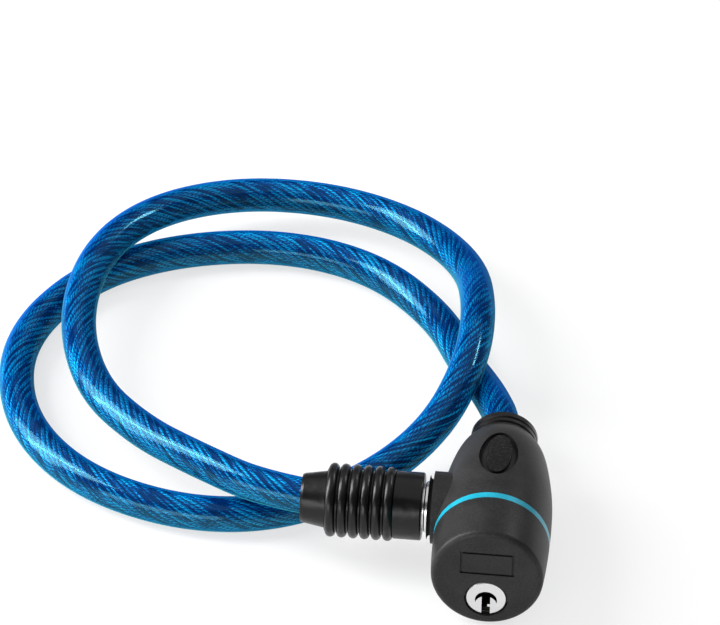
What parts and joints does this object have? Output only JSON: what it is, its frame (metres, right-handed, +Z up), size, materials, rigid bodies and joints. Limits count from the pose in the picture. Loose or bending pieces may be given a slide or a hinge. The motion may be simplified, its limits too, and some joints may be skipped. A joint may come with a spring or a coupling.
{
  "type": "keyed cable lock",
  "caption": "Keyed cable lock: a T-shaped black barrel with a pin-tumbler cylinder, a looped plastic-coated steel cable and a ribbed bolt plug that pushes into its side.",
  "frame": {"origin": "centre of the flat key face, on the axis of the barrel", "axes": "+Y along the barrel from the key face to the neck, where the cable leaves; the bolt points to +X and pulls out to -X; +Z up, the lock lying on its cable loop"},
  "size_m": [0.1969, 0.214, 0.0401],
  "materials": {
    "cover": "fine matte black ABS",
    "accent": "glossy sky-blue band",
    "grip": "stippled black soft plastic",
    "collar": "smooth black soft PVC",
    "sleeve": "semi-gloss black soft PVC",
    "sheath": "clear blue PVC over twisted steel wire",
    "rope": "twisted galvanised wire",
    "bright": "nickel-plated",
    "steel": "plain steel",
    "cylinder": "turned brass",
    "casting": "zinc die casting"
  },
  "bodies": {
    "lock": {"front_cover": "cover", "accent_ring": "accent", "rear_cover": "cover", "grip_pad": "grip", "neck_collar": "collar", "lock_body": "casting", "cylinder_housing": "cylinder", "cylinder_pin": "steel", "pin_cover": "cylinder", "pin_springs": "steel", "anchor_ferrule": "steel", "anchor_dowel": "steel", "socket_bush": "bright", "cable_sheath": "sheath", "cable_rope": "rope"},
    "plug": {"key_plug": "bright", "plug_clip": "steel", "drive_cam": "steel"},
    "latch": {"latch": "steel"},
    "key_pins": {"key_pins": "cylinder"},
    "driver_pins": {"driver_pins": "cylinder"},
    "bolt": {"bolt_pin": "bright", "bolt_ferrule": "bright", "plug_sleeve": "sleeve"}
  },
  "joints": [
    {"name": "key_turn", "type": "hinge", "parent": "lock", "child": "plug", "pos_m": [0, 0.013, -0.0098], "axis": [0, 1, 0], "range_deg": [0, 90]},
    {"name": "latch_slide", "type": "slide", "parent": "lock", "child": "latch", "axis": [0, 0, 1], "range_m": [0, 0.0018]},
    {"name": "bolt_slide", "type": "slide", "parent": "lock", "child": "bolt", "axis": [-1, 0, 0], "range_m": [0, 0.03], "deforming": ["cable_sheath", "cable_rope"]},
    {"name": "key_pin_slide", "type": "slide", "parent": "plug", "child": "key_pins", "axis": [0, 0, 1], "range_m": [-0.0012, 0]},
    {"name": "driver_pin_slide", "type": "slide", "parent": "lock", "child": "driver_pins", "axis": [0, 0, 1], "range_m": [0, 0.0008], "stiffness_N_per_m": 150, "springref_m": -0.001, "deforming": ["pin_springs"]}
  ],
  "couplings": [
    {"joint": "key_turn", "follows": "latch_slide", "rad_per_m": 872.6}
  ]
}
